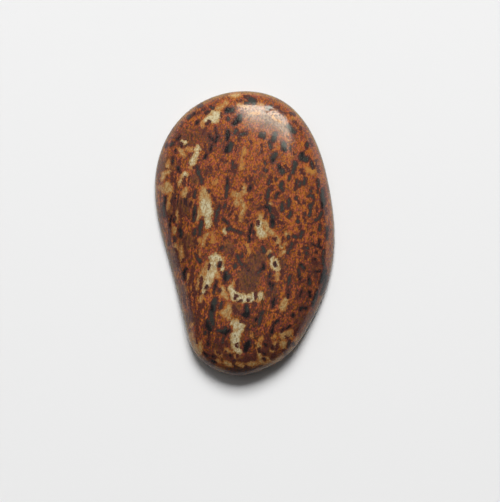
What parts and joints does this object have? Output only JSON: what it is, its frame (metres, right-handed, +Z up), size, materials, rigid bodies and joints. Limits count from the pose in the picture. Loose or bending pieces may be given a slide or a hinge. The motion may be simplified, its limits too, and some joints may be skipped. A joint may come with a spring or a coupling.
{
  "type": "polished mugglestone pebble",
  "caption": "Flattish tumbled and polished pebble of orange-brown jasper with dark flecks and cream patches, broad at one end, narrower at the other, resting on a small flat spot.",
  "frame": {"origin": "middle of the pebble's bounding box in plan, on the surface that it rests on", "axes": "+Y along the pebble's length towards its broad end, +X across it towards its more bulging long side, +Z up out of the surface that it rests on"},
  "size_m": [0.0156, 0.0246, 0.0036],
  "materials": {
    "stone": "polished: mottled orange jasper with dark iron-rich flecks and cream patches"
  },
  "bodies": {
    "root": {"stone": "stone"}
  },
  "joints": []
}
